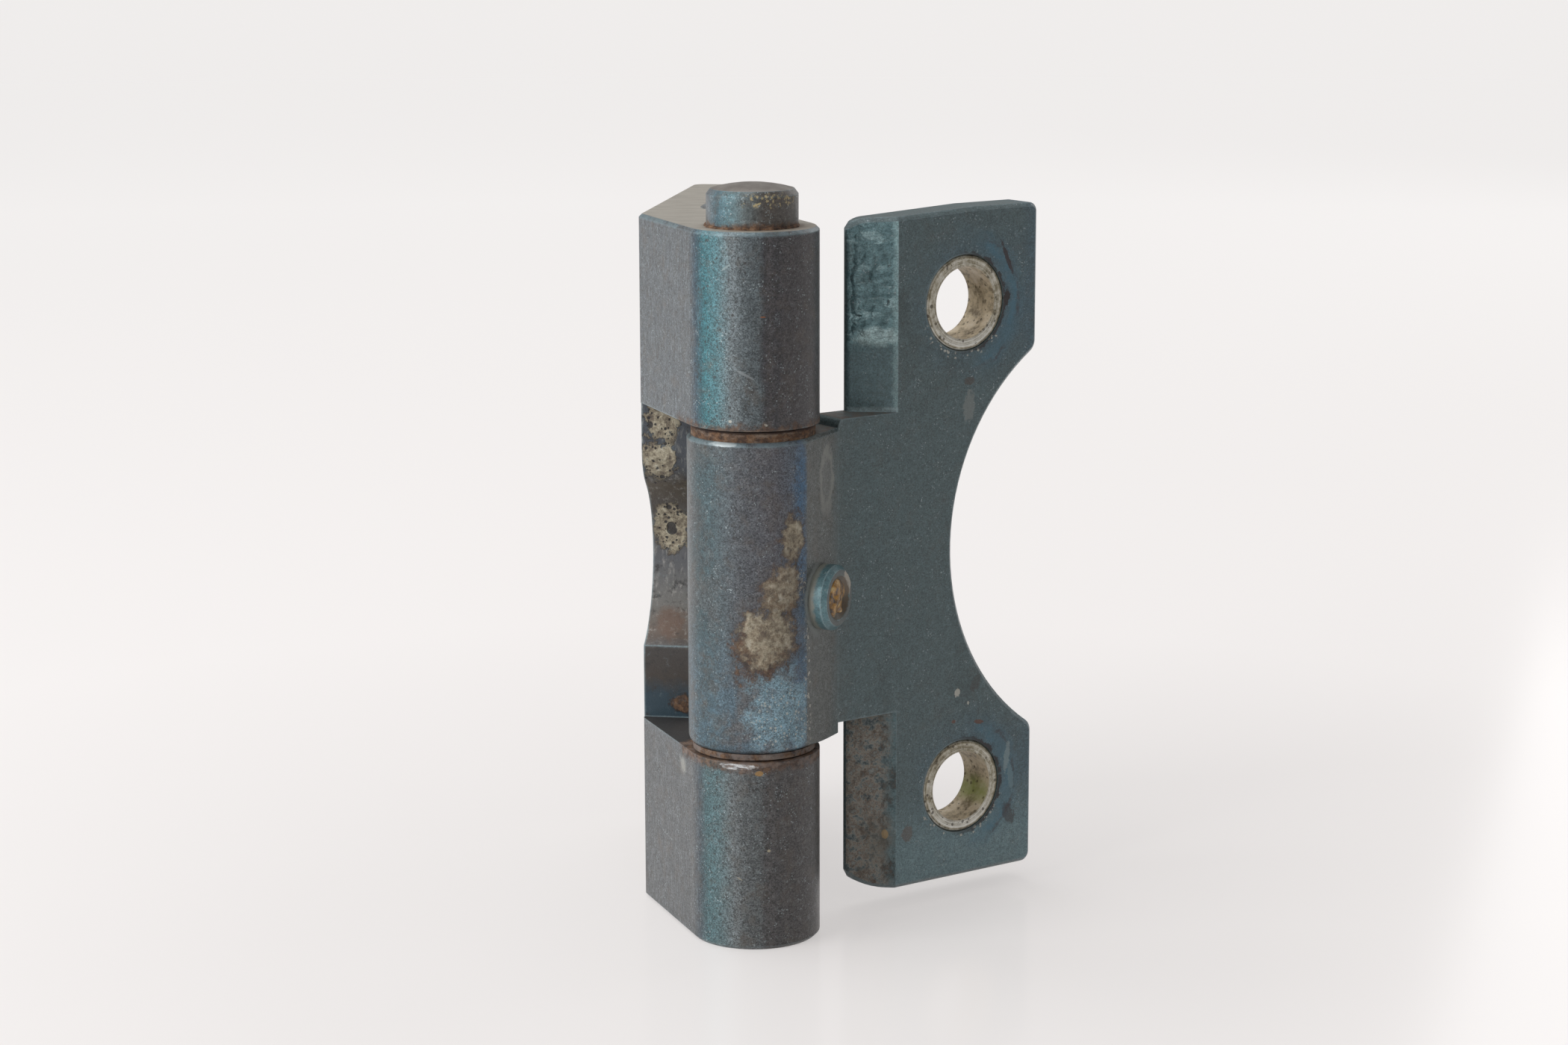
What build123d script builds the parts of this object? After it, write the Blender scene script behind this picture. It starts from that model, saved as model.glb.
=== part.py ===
"""Car door hinge: a forked pillar half, a door half with one knuckle, and the pin between them.

The pin's axis is Z and the fork stands on its sawn foot at Z 0. The pillar leaf runs back along +Y,
with its mounting face towards -X. The door half is drawn at the angle at which it rests.
"""

import os
from math import sqrt

from build123d import *

os.makedirs("parts", exist_ok=True)

# Knuckles, pin and bushes
knuckle_radius = 8.0
outer_knuckle_height = 23.5
middle_knuckle_height = 38.0
pin_radius = 4.0
pin_end_recess = 1.0
pin_end_chamfer = 0.6
pin_head_radius = 5.5
pin_head_side = 4.3
pin_head_dome = 0.85
pin_head_chamfer = 0.5
bush_wall = 1.0
bush_length = 14.0
flange_radius = 7.5
upper_flange_thickness = 1.2
lower_flange_thickness = 0.7
pin_running_clearance = 0.04
end_play = 0.2

# Pillar half: fork arm and mounting leaf
arm_angle = 120.0
leaf_face_offset = 16.0
leaf_thickness = 6.5
leaf_end = 50.5
leaf_end_rounding = 1.8
leaf_corner_rounding = 1.0
shoulder_length = 11.0
shoulder_angle = 165.0
shoulder_rounding = 4.0
web_rounding = 7.0
mouth_back = 12.2
scallop_radius = 12.0
scallop_depth = 7.0
scallop_top_rounding = 6.0
leaf_hole_setback = 14.5

# Door half: neck, plate and its outline
door_angle = 43.0
plate_thickness = 5.2
plate_face_offset = 3.5
facet_angle = 61.5
facet_cut = 0.12
knuckle_blend = 3.0
neck_height = 37.8
neck_clearance = 0.3
neck_corner_rounding = 1.0
upper_block_height = 24.5
lower_block_height = 23.0
block_crease = 19.0
block_nose = 12.8
nose_rounding = 0.8
upper_nose_corner = 4.0
lower_nose_corner = 5.5
top_slope_start = 31.0
top_slope_drop = 0.9
plate_reach = 40.7
plate_corner_rounding = 1.2
arc_radius = 29.3
arc_depth = 13.1
arc_corner_rounding = 1.8

# Fixing holes with pressed sleeves, the same on both halves
sleeve_radius = 6.0
sleeve_bore_radius = 4.5
sleeve_chamfer = 0.3
hole_spacing = 61.7
door_hole_setback = 11.46

# Grease nipple on the facet
nipple_shift = 3.0
nipple_drop = 1.2
nipple_head_radius = 4.0
nipple_head_height = 2.2
nipple_rim_chamfer = 0.6
nipple_stem_radius = 2.5
nipple_chamber_gap = 0.4
funnel_radius = 2.8
funnel_depth = 1.3
seat_radius = 0.8
seat_length = 0.5
ball_radius = 1.1
ball_clearance = 0.1

# Broken edges of sawn and milled faces
sawn_edge_chamfer = 0.4
knuckle_edge_chamfer = 0.4
knuckle_edge_rounding = 1.0
plate_edge_chamfer = 0.5

# Heights worked out from the knuckles upwards
lower_gap = lower_flange_thickness + end_play
upper_gap = upper_flange_thickness + end_play
middle_knuckle_bottom = outer_knuckle_height + lower_gap
middle_knuckle_top = middle_knuckle_bottom + middle_knuckle_height
upper_knuckle_bottom = middle_knuckle_top + upper_gap
fork_height = upper_knuckle_bottom + outer_knuckle_height
fork_middle = fork_height / 2
neck_top = upper_knuckle_bottom - neck_clearance
neck_bottom = neck_top - neck_height
plate_top = neck_top + upper_block_height
plate_bottom = neck_bottom - lower_block_height
plate_middle = (plate_top + plate_bottom) / 2

# Radii and frames shared by pieces that fit each other
bush_bore_radius = pin_radius + pin_running_clearance
bush_outer_radius = bush_bore_radius + bush_wall
plate_back = plate_thickness - plate_face_offset
door_along = Vector(1, 0, 0).rotate(Axis.Z, door_angle)
door_front = Vector(0, -1, 0).rotate(Axis.Z, door_angle)
door_plan = Plane(origin=(0, 0, 0), x_dir=door_along, z_dir=(0, 0, 1))
door_face = Plane(origin=(0, 0, 0), x_dir=door_along, z_dir=door_front)
outward = Axis((0, 0, 0), door_along)
forward = Axis((0, 0, 0), door_front)
facet_depth = knuckle_radius - facet_cut
nipple_way = Vector(1, 0, 0).rotate(Axis.Z, door_angle - facet_angle)
facet_way = nipple_way.rotate(Axis.Z, 90)
nipple_height = fork_middle - nipple_drop
nipple_foot = nipple_way * facet_depth + facet_way * nipple_shift + Vector(0, 0, nipple_height)
nipple_seat = Plane(origin=nipple_foot, z_dir=nipple_way)
leaf_inner = leaf_thickness - leaf_face_offset
leaf_hole_y = leaf_end - leaf_hole_setback
door_hole_reach = plate_reach - door_hole_setback


def nearest(shapes, point):
    """The vertex or edge of a list that lies closest to a point."""
    return shapes.sort_by_distance(point)[0]


# Pillar half: plan of the profile, barrel, arm with two flats, shoulder and leaf
arm_way = Vector(1, 0, 0).rotate(Axis.Z, arm_angle)
left_tangent = arm_way.rotate(Axis.Z, 90) * knuckle_radius
right_tangent = arm_way.rotate(Axis.Z, -90) * knuckle_radius
barrel_front = arm_way * -knuckle_radius
flat_length = (leaf_face_offset + left_tangent.X) / -arm_way.X
leaf_corner = left_tangent + arm_way * flat_length
shoulder = right_tangent + arm_way * shoulder_length
shoulder_way = Vector(1, 0, 0).rotate(Axis.Z, shoulder_angle)
web_corner = shoulder + shoulder_way * ((leaf_inner - shoulder.X) / shoulder_way.X)
leaf_inner_end = Vector(leaf_inner, leaf_end)
leaf_outer_end = Vector(-leaf_face_offset, leaf_end)

with BuildSketch() as fork_profile:
    with BuildLine():
        ThreePointArc(left_tangent, barrel_front, right_tangent)
        Polyline(
            right_tangent,
            shoulder,
            web_corner,
            leaf_inner_end,
            leaf_outer_end,
            leaf_corner,
            left_tangent,
        )
    make_face()
    fillet(nearest(fork_profile.vertices(), shoulder), shoulder_rounding)
    fillet(nearest(fork_profile.vertices(), web_corner), web_rounding)
    fillet(nearest(fork_profile.vertices(), leaf_inner_end), leaf_end_rounding)
    fillet(nearest(fork_profile.vertices(), leaf_outer_end), leaf_end_rounding)
    fillet(nearest(fork_profile.vertices(), leaf_corner), leaf_corner_rounding)

with BuildPart() as pillar_half:
    extrude(fork_profile.sketch, amount=fork_height)
    sawn_ends = pillar_half.faces().filter_by(Axis.Z)
    chamfer(sawn_ends.edges(), sawn_edge_chamfer)
    # Mouth for the middle knuckle, milled down to the plain leaf
    mouth_height = upper_knuckle_bottom - outer_knuckle_height
    with BuildSketch(Plane.XY.offset(outer_knuckle_height)):
        with Locations((0, mouth_back)):
            Rectangle(4 * leaf_end, 2 * leaf_end, align=(Align.CENTER, Align.MAX))
        with Locations((leaf_inner, 0)):
            Rectangle(2 * leaf_end, 4 * leaf_end, align=(Align.MIN, Align.CENTER))
    extrude(amount=mouth_height, mode=Mode.SUBTRACT)
    # Scallop in the leaf's front edge, in line with the nipple
    with BuildSketch(Plane.YZ.offset(leaf_inner)):
        with Locations((mouth_back + scallop_depth - scallop_radius, fork_middle)):
            Circle(scallop_radius)
    extrude(amount=-leaf_thickness, mode=Mode.SUBTRACT)
    scallop_top = fork_middle + sqrt(scallop_radius**2 - (scallop_radius - scallop_depth) ** 2)
    scallop_brink = (leaf_inner - leaf_thickness / 2, mouth_back, scallop_top)
    fillet(nearest(pillar_half.edges(), scallop_brink), scallop_top_rounding)
    # Bore for the pin and holes for the sleeves
    with BuildSketch():
        Circle(pin_radius)
    extrude(amount=fork_height, mode=Mode.SUBTRACT)
    with BuildSketch(Plane.YZ.offset(leaf_inner)):
        with Locations((leaf_hole_y, fork_middle)):
            with GridLocations(0, hole_spacing, 1, 2):
                Circle(sleeve_radius)
    extrude(amount=-leaf_thickness, mode=Mode.SUBTRACT)

pillar_half.part.label = "pillar_half"
export_step(pillar_half.part, "parts/pillar_half.step")


# Hinge pin: fixed in the fork, low domed head on top of the upper knuckle
head_side_top = fork_height + pin_head_side
head_top = head_side_top + pin_head_dome

with BuildPart() as hinge_pin:
    with BuildSketch(Plane.XZ) as pin_section:
        with BuildLine():
            TangentArc((0, head_top), (pin_head_radius, head_side_top), tangent=(1, 0))
            Polyline(
                (pin_head_radius, head_side_top),
                (pin_head_radius, fork_height),
                (pin_radius, fork_height),
                (pin_radius, pin_end_recess),
                (0, pin_end_recess),
                (0, head_top),
            )
        make_face()
        chamfer(nearest(pin_section.vertices(), (pin_radius, pin_end_recess)), pin_end_chamfer)
        chamfer(nearest(pin_section.vertices(), (pin_head_radius, head_side_top)), pin_head_chamfer)
    revolve(axis=Axis.Z)

hinge_pin.part.label = "hinge_pin"
export_step(hinge_pin.part, "parts/hinge_pin.step")


# Flanged bushes: pressed into both ends of the middle knuckle, the flanges take the side load
def flanged_bush(label, flange_seat, flange_end):
    """A bush pressed into a knuckle, with its flange between flange_seat and flange_end."""
    tube_end = flange_seat + (bush_length if flange_end < flange_seat else -bush_length)
    with BuildPart() as bush:
        with BuildSketch(Plane.XZ):
            with BuildLine():
                Polyline(
                    (bush_bore_radius, flange_end),
                    (flange_radius, flange_end),
                    (flange_radius, flange_seat),
                    (bush_outer_radius, flange_seat),
                    (bush_outer_radius, tube_end),
                    (bush_bore_radius, tube_end),
                    close=True,
                )
            make_face()
        revolve(axis=Axis.Z)
    bush.part.label = label
    export_step(bush.part, f"parts/{label}.step")


flanged_bush("upper_bush", middle_knuckle_top, middle_knuckle_top + upper_flange_thickness)
flanged_bush("lower_bush", middle_knuckle_bottom, middle_knuckle_bottom - lower_flange_thickness)


# Door half: plan of the plate with its bevelled edge, and plan of the knuckle with its facet
facet_normal = Vector(1, 0, 0).rotate(Axis.Z, -facet_angle)
facet_half_chord = sqrt(knuckle_radius**2 - facet_depth**2)
facet_crease = facet_normal * facet_depth + facet_normal.rotate(Axis.Z, -90) * facet_half_chord
facet_end_reach = (facet_depth + plate_face_offset * facet_normal.Y) / facet_normal.X
facet_end = Vector(facet_end_reach, -plate_face_offset)
nose = Vector(block_nose, plate_back)
knuckle_far_side = Vector(-knuckle_radius, 0)
blend_foot = Vector(sqrt(knuckle_radius**2 - plate_back**2), plate_back)

with BuildSketch(door_plan.offset(plate_bottom)) as plate_plan:
    with BuildLine():
        Polyline(
            (block_crease, -plate_face_offset),
            (plate_reach, -plate_face_offset),
            (plate_reach, plate_back),
            nose,
            close=True,
        )
    make_face()
    fillet(nearest(plate_plan.vertices(), nose), nose_rounding)

with BuildSketch(door_plan.offset(middle_knuckle_bottom)) as knuckle_plan:
    with BuildLine():
        ThreePointArc(blend_foot, knuckle_far_side, facet_crease)
        Polyline(facet_crease, facet_end, (facet_end_reach, plate_back), blend_foot)
    make_face()
    fillet(nearest(knuckle_plan.vertices(), blend_foot), knuckle_blend)

# Front view of the plate, with a concave arc in its outer edge
arc_half_chord = sqrt(arc_radius**2 - (arc_radius - arc_depth) ** 2)
arc_low_end = Vector(plate_reach, plate_middle - arc_half_chord)
arc_high_end = Vector(plate_reach, plate_middle + arc_half_chord)
plate_top_corner = Vector(plate_reach, plate_top)
plate_low_corner = Vector(plate_reach, plate_bottom)
top_slope_end = Vector(top_slope_start, plate_top)
nose_top_corner = Vector(block_nose, plate_top - top_slope_drop)
nose_low_corner = Vector(block_nose, plate_bottom)

with BuildSketch(door_face.offset(plate_face_offset)) as plate_front:
    with BuildLine():
        ThreePointArc(arc_low_end, (plate_reach - arc_depth, plate_middle), arc_high_end)
        Polyline(
            arc_high_end,
            plate_top_corner,
            top_slope_end,
            nose_top_corner,
            nose_low_corner,
            plate_low_corner,
            arc_low_end,
        )
    make_face()
    for arc_end in (arc_low_end, arc_high_end):
        fillet(nearest(plate_front.vertices(), arc_end), arc_corner_rounding)
    for corner in (plate_top_corner, plate_low_corner):
        fillet(nearest(plate_front.vertices(), corner), plate_corner_rounding)
    fillet(nearest(plate_front.vertices(), nose_top_corner), upper_nose_corner)
    fillet(nearest(plate_front.vertices(), nose_low_corner), lower_nose_corner)

# The knuckle's upper edges are broken, the facet's and then the barrel's, and its foot is well rounded
with BuildPart() as knuckle:
    extrude(knuckle_plan.sketch, amount=middle_knuckle_height)
    for curve in (GeomType.LINE, GeomType.CIRCLE):
        top_edges = knuckle.faces().sort_by(Axis.Z)[-1].edges().filter_by(curve)
        chamfer(top_edges.sort_by(outward)[0], knuckle_edge_chamfer)
    bottom_arcs = knuckle.faces().sort_by(Axis.Z)[0].edges().filter_by(GeomType.CIRCLE)
    fillet(bottom_arcs.sort_by(outward)[0], knuckle_edge_rounding)

with BuildPart() as door_half:
    extrude(plate_front.sketch, amount=-plate_thickness)
    extrude(plate_plan.sketch, amount=plate_top - plate_bottom, mode=Mode.INTERSECT)
    plate_faces = door_half.faces().sort_by(forward)
    front_outline = plate_faces[-1].edges().sort_by(outward)
    back_outline = plate_faces[0].edges().sort_by(outward)
    chamfer(front_outline[1:] + back_outline[1:], plate_edge_chamfer)
    # Neck, flush with both faces of the plate, and the knuckle that it carries
    with BuildSketch(door_face.offset(plate_face_offset)) as neck_front:
        with Locations((facet_end_reach, neck_bottom)):
            Rectangle(block_crease - facet_end_reach, neck_height, align=(Align.MIN, Align.MIN))
        fillet(nearest(neck_front.vertices(), (facet_end_reach, neck_top)), neck_corner_rounding)
    extrude(amount=-plate_thickness)
    add(knuckle.part)
    # Bore for the bushes, hole for the nipple, holes for the sleeves
    with BuildSketch(Plane.XY.offset(middle_knuckle_bottom)):
        Circle(bush_outer_radius)
    extrude(amount=middle_knuckle_height, mode=Mode.SUBTRACT)
    with BuildSketch(nipple_seat):
        Circle(nipple_stem_radius)
    extrude(amount=-knuckle_radius, mode=Mode.SUBTRACT)
    with BuildSketch(door_face.offset(plate_face_offset)):
        with Locations((door_hole_reach, plate_middle)):
            with GridLocations(0, hole_spacing, 1, 2):
                Circle(sleeve_radius)
    extrude(amount=-plate_thickness, mode=Mode.SUBTRACT)

door_half.part.label = "door_half"
export_step(door_half.part, "parts/door_half.step")


# Fixing sleeves: steel tubes pressed flush into the plate and the leaf
def fixing_sleeve(label, face, centre, length):
    """A sleeve whose mouth lies on a face at centre and whose tube runs back into the metal."""
    with BuildPart() as sleeve:
        with BuildSketch(face):
            with Locations(centre):
                Circle(sleeve_radius)
                Circle(sleeve_bore_radius, mode=Mode.SUBTRACT)
        extrude(amount=-length)
        rims = sleeve.edges().filter_by(GeomType.CIRCLE).group_by(SortBy.RADIUS)[-1]
        chamfer(rims, sleeve_chamfer)
    sleeve.part.label = label
    export_step(sleeve.part, f"parts/{label}.step")


leaf_face = Plane.YZ.offset(leaf_inner)
plate_face = door_face.offset(plate_face_offset)
for place, rise in (("lower", -hole_spacing / 2), ("upper", hole_spacing / 2)):
    leaf_hole = (leaf_hole_y, fork_middle + rise)
    fixing_sleeve(f"pillar_sleeve_{place}", leaf_face, leaf_hole, leaf_thickness)
    plate_hole = (door_hole_reach, plate_middle + rise)
    fixing_sleeve(f"door_sleeve_{place}", plate_face, plate_hole, plate_thickness)


# Grease nipple: button head with a funnel, stem driven into the knuckle, check ball under the funnel
stem_depth = knuckle_radius - bush_outer_radius - nipple_chamber_gap
funnel_bottom = nipple_head_height - funnel_depth
ball_seat = funnel_bottom - seat_length
ball_chamber_radius = ball_radius + ball_clearance
ball_centre = ball_seat - sqrt(ball_radius**2 - seat_radius**2)
nipple_axis = Axis(nipple_seat.origin, nipple_way)
nipple_section = Plane(
    origin=nipple_seat.origin, x_dir=(0, 0, 1), z_dir=Vector(0, 0, 1).cross(nipple_way)
)

with BuildPart() as grease_nipple:
    with BuildSketch(nipple_section) as nipple_half:
        with BuildLine():
            Polyline(
                (ball_chamber_radius, -stem_depth),
                (nipple_stem_radius, -stem_depth),
                (nipple_stem_radius, 0),
                (nipple_head_radius, 0),
                (nipple_head_radius, nipple_head_height),
                (funnel_radius, nipple_head_height),
                (seat_radius, funnel_bottom),
                (seat_radius, ball_seat),
                (ball_chamber_radius, ball_seat),
                close=True,
            )
        make_face()
        head_rim = (nipple_head_radius, nipple_head_height)
        chamfer(nearest(nipple_half.vertices(), head_rim), nipple_rim_chamfer)
    revolve(axis=nipple_axis)

grease_nipple.part.label = "grease_nipple"
export_step(grease_nipple.part, "parts/grease_nipple.step")

with BuildPart() as nipple_ball:
    with Locations(nipple_seat.offset(ball_centre)):
        Sphere(ball_radius)

nipple_ball.part.label = "nipple_ball"
export_step(nipple_ball.part, "parts/nipple_ball.step")
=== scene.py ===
"""Looks of a used car door hinge: worn pearl paint, rusty bushes, old grease and a pale studio floor."""

from math import cos, degrees, pi, radians, sin, tau

import bmesh
import bpy
from mathutils import Matrix, Vector, noise


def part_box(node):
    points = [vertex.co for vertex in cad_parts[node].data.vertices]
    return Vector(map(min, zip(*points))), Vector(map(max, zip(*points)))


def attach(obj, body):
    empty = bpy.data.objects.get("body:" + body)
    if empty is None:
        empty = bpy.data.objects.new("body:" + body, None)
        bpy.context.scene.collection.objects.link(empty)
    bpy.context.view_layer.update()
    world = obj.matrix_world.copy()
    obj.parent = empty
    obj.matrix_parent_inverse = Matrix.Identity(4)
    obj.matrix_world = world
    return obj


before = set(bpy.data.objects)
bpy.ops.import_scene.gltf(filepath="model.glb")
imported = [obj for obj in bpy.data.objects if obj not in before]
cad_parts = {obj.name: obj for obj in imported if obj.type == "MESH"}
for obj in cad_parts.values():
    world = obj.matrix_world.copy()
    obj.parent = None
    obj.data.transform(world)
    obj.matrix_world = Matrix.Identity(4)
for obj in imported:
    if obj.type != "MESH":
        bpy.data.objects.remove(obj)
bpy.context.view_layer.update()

mm = 0.001

# Places and directions of the hinge, some read from the frame, heights in millimetres
pin_head_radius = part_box("hinge_pin")[1][0]
fork_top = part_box("pillar_half")[1][2] / mm
upper_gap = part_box("upper_bush")[1][2] / mm
lower_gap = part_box("lower_bush")[0][2] / mm
mouth_floor = 24.0
mouth_roof = 64.0
door_angle = radians(43)
facet_angle = radians(-18.5)
upward = Vector((0, 0, 1))
leaf_along = Vector((0, 1, 0))
mounting_front = Vector((-1, 0, 0))
door_along = Vector((cos(door_angle), sin(door_angle), 0))
door_front = Vector((sin(door_angle), -cos(door_angle), 0))
facet_front = Vector((cos(facet_angle), sin(facet_angle), 0))
facet_side = upward.cross(facet_front)
bevel_front = Vector((0.05, -1, 0))
flat_front = Vector((cos(radians(210)), sin(radians(210)), 0))


def middle(node_name):
    """The middle of a node's box."""
    low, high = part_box(node_name)
    return (Vector(low) + Vector(high)) / 2


# Sleeves of the fixing holes, in millimetres
bore_radius = 4.5
sleeve_radius = 6.0

# Grease nipple: the middle of its end face
nipple_radius = 4.0 * mm
nipple_end = 10.08 * mm
nipple_shift = 3.0 * mm
funnel_radius = 2.8 * mm
nipple_middle = facet_front * nipple_end + facet_side * nipple_shift + upward * middle("grease_nipple").z


# Colours are written as on a screen, 0 to 255, and made linear where they are set


def linear(colour):
    """The linear values that shaders take, from a colour as on a screen."""
    values = []
    for part in colour:
        share = part / 255
        values.append(share / 12.92 if share <= 0.04045 else ((share + 0.055) / 1.055) ** 2.4)
    return (*values, 1)


# Shader node helpers


def shader_node(tree, kind, inputs=None, **settings):
    """A new shader node with its settings, and with inputs that are values or outputs."""
    made = tree.nodes.new("ShaderNode" + kind)
    for name, value in settings.items():
        setattr(made, name, value)
    for name, value in (inputs or {}).items():
        feed(tree, made.inputs[name], value)
    return made


def feed(tree, socket, value):
    """Links an output to a socket, or sets the socket's own value."""
    if isinstance(value, bpy.types.NodeSocket):
        tree.links.new(value, socket)
    else:
        socket.default_value = linear(value) if socket.type == "RGBA" else value


def sums(tree, operation, first, second=0.0):
    """The result of a Math node."""
    return shader_node(tree, "Math", {0: first, 1: second}, operation=operation).outputs[0]


def vector_sums(tree, operation, inputs, result="Vector"):
    """The result of a Vector Math node."""
    return shader_node(tree, "VectorMath", inputs, operation=operation).outputs[result]


def product(tree, *values):
    """Masks and values multiplied together."""
    result = values[0]
    for value in values[1:]:
        result = sums(tree, "MULTIPLY", result, value)
    return result


def stepped(tree, value, low, high, to_low=0.0, to_high=1.0):
    """A value that goes smoothly from to_low to to_high as another goes from low to high."""
    given = {"Value": value, "From Min": low, "From Max": high, "To Min": to_low, "To Max": to_high}
    return shader_node(tree, "MapRange", given, interpolation_type="SMOOTHSTEP").outputs["Result"]


def band(tree, value, low, high, soft):
    """A mask that is 1 between low and high, with soft ends."""
    rise = stepped(tree, value, low - soft, low + soft)
    fall = stepped(tree, value, high + soft, high - soft)
    return product(tree, rise, fall)


def mixed(tree, share, under, over, blend="MIX"):
    """One colour laid over another by a share."""
    given = {0: share, 6: under, 7: over}
    return shader_node(tree, "Mix", given, data_type="RGBA", blend_type=blend).outputs[2]


def colour_ramp(tree, value, stops):
    """A colour that follows a value from 0 to 1 through stops of place and colour."""
    made = shader_node(tree, "ValToRGB", {"Fac": value})
    elements = made.color_ramp.elements
    for place, colour in stops[1:-1]:
        elements.new(place).color = linear(colour)
    for end in (0, -1):
        elements[end].position = stops[end][0]
        elements[end].color = linear(stops[end][1])
    return made.outputs["Color"]


def millimetres(tree):
    """Object coordinates in millimetres, one node for the whole tree."""
    made = tree.nodes.get("millimetres")
    if made is None:
        place = tree.nodes.new("ShaderNodeTexCoord").outputs["Object"]
        given = {0: place, "Scale": 1 / mm}
        made = shader_node(tree, "VectorMath", given, operation="SCALE", name="millimetres")
    return made.outputs[0]


def reach(tree, direction):
    """How far the surface lies along a direction, in millimetres."""
    return vector_sums(tree, "DOT_PRODUCT", {0: millimetres(tree), 1: direction}, "Value")


def facing(tree, direction, low=0.9, high=0.98):
    """A mask of the surface that faces a direction."""
    normal = tree.nodes.new("ShaderNodeTexCoord").outputs["Normal"]
    likeness = vector_sums(tree, "DOT_PRODUCT", {0: normal, 1: direction}, "Value")
    return stepped(tree, likeness, low, high)


def cloudy(tree, scale, detail=4.0, stretch=(1, 1, 1), rough=0.6, swirl=0.0):
    """Noise from 0 to 1, its scale in waves per millimetre, drawn out where stretch is under 1."""
    drawn = vector_sums(tree, "MULTIPLY", {0: millimetres(tree), 1: stretch})
    given = {"Vector": drawn, "Scale": scale, "Detail": detail, "Roughness": rough, "Distortion": swirl}
    return shader_node(tree, "TexNoise", given).outputs["Fac"]


def patches(tree, low, high, scale, *shape, **named_shape):
    """A mask that rises as cloudy noise goes from low to high."""
    return stepped(tree, cloudy(tree, scale, *shape, **named_shape), low, high)


def wobbled(tree, value, amount, scale=0.7):
    """A value pushed up and down by noise, by up to half an amount."""
    push = sums(tree, "SUBTRACT", cloudy(tree, scale, 6.0, rough=0.7), 0.5)
    return sums(tree, "ADD", value, product(tree, push, amount))


def specks(tree, scale, cover):
    """Small dots, scale of them to the millimetre, of which cover is the share that shows."""
    dots = shader_node(tree, "TexVoronoi", {"Vector": millimetres(tree), "Scale": scale})
    shades = shader_node(tree, "SeparateColor", {"Color": dots.outputs["Color"]})
    size = stepped(tree, shades.outputs["Red"], 1.0 - cover, 1.0, 0.0, 0.6)
    return stepped(tree, sums(tree, "SUBTRACT", size, dots.outputs["Distance"]), 0.0, 0.12)


def new_group(name, inputs, outputs):
    """An empty node group, with its input and output sockets."""
    tree = bpy.data.node_groups.new(name, "ShaderNodeTree")
    kinds = {"value": "NodeSocketFloat", "colour": "NodeSocketColor", "vector": "NodeSocketVector"}
    for socket_name, kind in inputs.items():
        tree.interface.new_socket(socket_name, in_out="INPUT", socket_type=kinds[kind])
    for socket_name, kind in outputs.items():
        tree.interface.new_socket(socket_name, in_out="OUTPUT", socket_type=kinds[kind])
    return tree, tree.nodes.new("NodeGroupInput").outputs, tree.nodes.new("NodeGroupOutput").inputs


def placed(tree, group, inputs=None):
    """Places a node group in a tree with its own values."""
    return shader_node(tree, "Group", inputs, node_tree=group).outputs


# Effects that several finishes share


def metal_flake_group():
    """Grain of metal flakes in a paint: shades it flake by flake, and lays clusters of them lighter as
    painted glints.
    """
    tree, given, out = new_group(
        "metal_flake",
        {"Paint": "colour", "Flash": "colour", "Depth": "value", "Cover": "value"},
        {"Color": "colour", "Height": "value"},
    )
    flakes = shader_node(tree, "TexVoronoi", {"Vector": millimetres(tree), "Scale": 7.5})
    shades = shader_node(tree, "SeparateColor", {"Color": flakes.outputs["Color"]}).outputs
    grain = sums(tree, "ADD", product(tree, shades["Red"], 0.5), cloudy(tree, 3.0, 6.0, rough=0.8))
    dull = sums(tree, "SUBTRACT", 1.0, given["Depth"])
    bright = sums(tree, "ADD", 1.0, given["Depth"])
    shade = stepped(tree, grain, 0.4, 1.1, dull, bright)
    grained = vector_sums(tree, "SCALE", {0: given["Paint"], "Scale": shade})
    rare = sums(tree, "SUBTRACT", 1.0, given["Cover"])
    # Painted glints: rare clusters of flakes laid in the lighter flash colour
    clusters = patches(tree, 0.42, 0.66, 0.5, 5.0)
    flash = product(tree, stepped(tree, shades["Green"], rare, 1.0), clusters)
    feed(tree, out["Color"], mixed(tree, flash, grained, given["Flash"]))
    feed(tree, out["Height"], grain)
    return tree


def old_stain_group():
    """Years of dirt on a paint: soft brown blotches, fine uneven darkening and dark specks."""
    tree, given, out = new_group(
        "old_stain", {"Paint": "colour", "Brown": "value", "Pepper": "value"}, {"Color": "colour"}
    )
    swing = product(tree, given["Brown"], 0.55)
    dull = sums(tree, "SUBTRACT", 1.0, swing)
    bright = sums(tree, "ADD", 1.0, swing)
    uneven = stepped(tree, cloudy(tree, 1.1, 7.0, rough=0.75), 0.3, 0.7, dull, bright)
    faded = vector_sums(tree, "SCALE", {0: given["Paint"], "Scale": uneven})
    blotches = patches(tree, 0.48, 0.7, 0.42, 7.0, rough=0.72)
    soiled = mixed(tree, product(tree, blotches, given["Brown"]), faded, (100, 90, 80))
    pepper = product(tree, specks(tree, 2.6, 0.16), given["Pepper"])
    feed(tree, out["Color"], mixed(tree, pepper, soiled, (50, 46, 44)))
    return tree


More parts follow.
